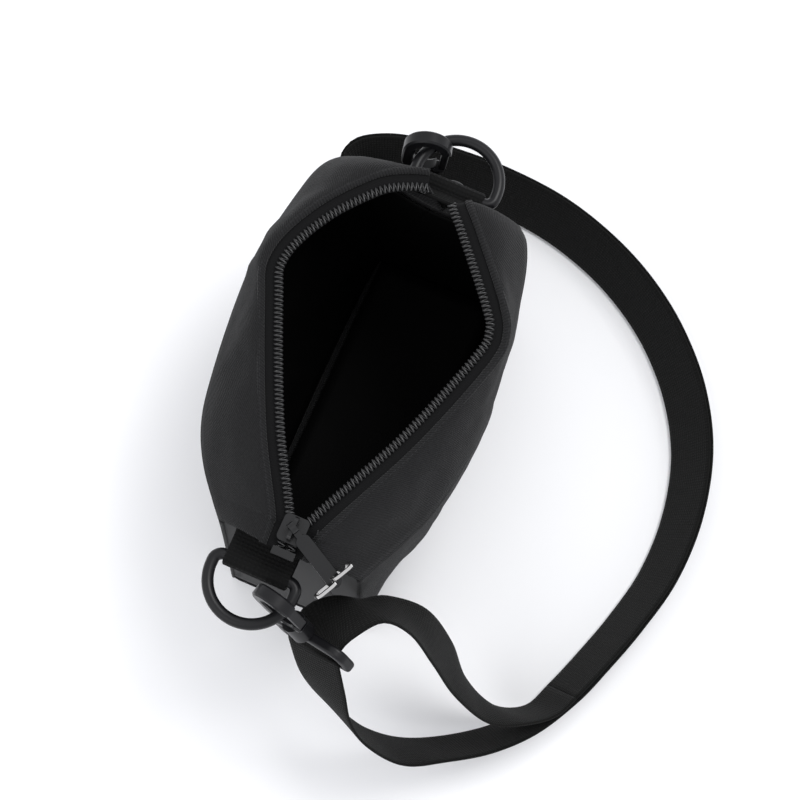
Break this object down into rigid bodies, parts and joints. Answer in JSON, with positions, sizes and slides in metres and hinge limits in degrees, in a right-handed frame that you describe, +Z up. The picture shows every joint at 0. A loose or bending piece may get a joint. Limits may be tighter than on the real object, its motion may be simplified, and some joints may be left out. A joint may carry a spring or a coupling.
{
  "type": "sling bag",
  "caption": "Small charcoal sling bag standing open, with a webbing strap on snap hooks, D-rings and a top zip.",
  "frame": {"origin": "middle of the base's underside, on the surface the bag stands on", "axes": "+X along the zip from the slider's end to the other end, +Y towards the back panel, +Z up"},
  "size_m": [0.3332, 0.2664, 0.1666],
  "materials": {
    "shell_fabric": "fine charcoal twill, matt",
    "gusset_fabric": "smooth mid-grey coated side of the same cloth",
    "lining_fabric": "thin black taffeta",
    "zip_tape_fabric": "dark herringbone tape",
    "zip_coil_plastic": "spiral coil",
    "dark_metal": "black lacquered",
    "bright_metal": "nickel",
    "hardware_plastic": "satin moulded bluish grey",
    "webbing_fabric": "dark grey woven webbing",
    "stiffener_plastic": "foam-backed board"
  },
  "bodies": {
    "bag": {"back_panel": "shell_fabric", "front_panel": "shell_fabric", "near_gusset": "gusset_fabric", "far_gusset": "gusset_fabric", "base_panel": "shell_fabric", "base_stiffener": "stiffener_plastic", "lining": "lining_fabric", "back_top_strip": "shell_fabric", "front_top_strip": "shell_fabric", "back_zip_tape": "zip_tape_fabric", "front_zip_tape": "zip_tape_fabric", "back_zip_coil": "zip_coil_plastic", "front_zip_coil": "zip_coil_plastic", "zip_stops": "dark_metal", "near_tab": "webbing_fabric", "far_tab": "webbing_fabric", "strap_webbing": "webbing_fabric"},
    "slider": {"zip_slider": "dark_metal"},
    "puller": {"zip_puller": "dark_metal"},
    "rings": {"puller_rings": "bright_metal"},
    "near_ring": {"near_d_ring": "hardware_plastic", "near_hook_loop": "hardware_plastic"},
    "near_hook": {"near_hook_body": "hardware_plastic"},
    "near_gate": {"near_hook_gate": "hardware_plastic"},
    "far_ring": {"far_d_ring": "hardware_plastic", "far_hook_loop": "hardware_plastic"},
    "far_hook": {"far_hook_body": "hardware_plastic"},
    "far_gate": {"far_hook_gate": "hardware_plastic"},
    "adjuster": {"strap_adjuster": "hardware_plastic"}
  },
  "joints": [
    {"name": "zip_slide", "type": "slide", "parent": "bag", "child": "slider", "axis": [1, 0, 0], "range_m": [0, 0.165], "deforming": ["back_zip_coil", "front_zip_coil", "back_zip_tape", "front_zip_tape", "back_top_strip", "front_top_strip"]},
    {"name": "puller_swing", "type": "hinge", "parent": "slider", "child": "puller", "pos_m": [-0.085, 0, 0.16365], "axis": [-0.891, 0.454, 0], "range_deg": [0, 150]},
    {"name": "rings_swing", "type": "hinge", "parent": "puller", "child": "rings", "pos_m": [-0.09889, -0.02726, 0.15129], "axis": [-0.4209, -0.8261, -0.3746], "range_deg": [-12, 12]},
    {"name": "near_d_ring_swing", "type": "hinge", "parent": "bag", "child": "near_ring", "pos_m": [-0.107, 0.0105, 0.139], "axis": [0, 1, 0], "range_deg": [-20, 20], "deforming": ["strap_webbing"]},
    {"name": "far_d_ring_swing", "type": "hinge", "parent": "bag", "child": "far_ring", "pos_m": [0.1102, -0.0002, 0.139], "axis": [0, -1, 0], "range_deg": [-4, 20]},
    {"name": "near_hook_swivel", "type": "hinge", "parent": "near_ring", "child": "near_hook", "pos_m": [-0.12498, -0.02151, 0.12009], "axis": [0.166, 0.5162, 0.8402], "range_deg": [-12, 12]},
    {"name": "far_hook_swivel", "type": "hinge", "parent": "far_ring", "child": "far_hook", "pos_m": [0.11945, 0.02132, 0.11137], "axis": [0.2017, -0.0504, 0.9782], "range_deg": [-25, 0]},
    {"name": "near_hook_gate_turn", "type": "hinge", "parent": "near_hook", "child": "near_gate", "pos_m": [-0.12341, -0.01993, 0.14059], "axis": [-0.9739, 0.2193, 0.0578], "range_deg": [0, 16], "stiffness_Nm_per_rad": 0.004, "springref_deg": -17.19},
    {"name": "far_hook_gate_turn", "type": "hinge", "parent": "far_hook", "child": "far_gate", "pos_m": [0.12552, 0.01125, 0.12831], "axis": [-0.9469, -0.2655, 0.1815], "range_deg": [0, 1.5], "stiffness_Nm_per_rad": 0.004, "springref_deg": -17.19},
    {"name": "adjuster_slide", "type": "slide", "parent": "bag", "child": "adjuster", "axis": [0.1401, 0.2401, -0.9606], "range_m": [0, 0.006]}
  ]
}
